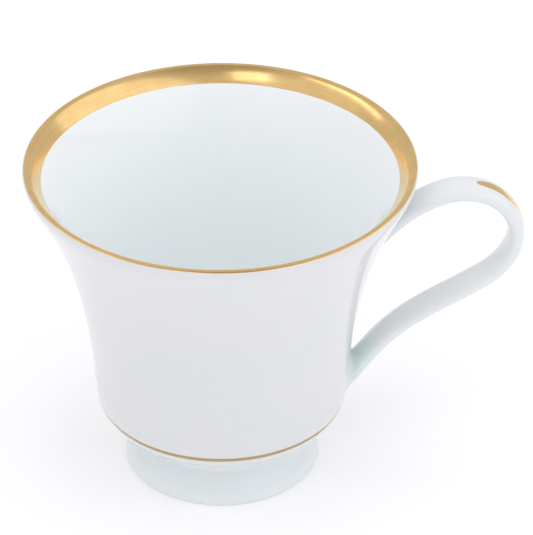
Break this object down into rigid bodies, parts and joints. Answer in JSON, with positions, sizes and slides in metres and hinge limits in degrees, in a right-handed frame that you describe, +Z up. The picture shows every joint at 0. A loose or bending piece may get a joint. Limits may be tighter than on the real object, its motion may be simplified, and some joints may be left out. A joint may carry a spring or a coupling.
{
  "type": "teacup",
  "caption": "Footed porcelain teacup with a flared bowl, a strap ear handle, and gilding on the lip, shoulder and handle.",
  "frame": {"origin": "on the resting plane, half way between the far side of the rim and the back of the handle; the axis of the bowl stands 12.6 mm towards -X from it", "axes": "+Z up along the axis of the bowl, +X from the bowl towards the handle, +Y to the left of the handle seen from the bowl"},
  "size_m": [0.1152, 0.09, 0.0801],
  "materials": {
    "porcelain": "clear glossy feldspar glaze over white hard-paste porcelain, with a faint cool tint where it pools",
    "slip": "fired porcelain slip under the same glaze, a little bluer where the glaze is thick",
    "gold": "brushed-on, burnished gold film, satin with fine strokes along the line"
  },
  "bodies": {
    "root": {"bowl": "porcelain", "foot": "porcelain", "handle": "porcelain", "foot_joint": "slip", "handle_upper_joint": "slip", "handle_lower_joint": "slip", "rim_gilding": "gold", "gilt_line": "gold", "handle_gilding": "gold"}
  },
  "joints": []
}
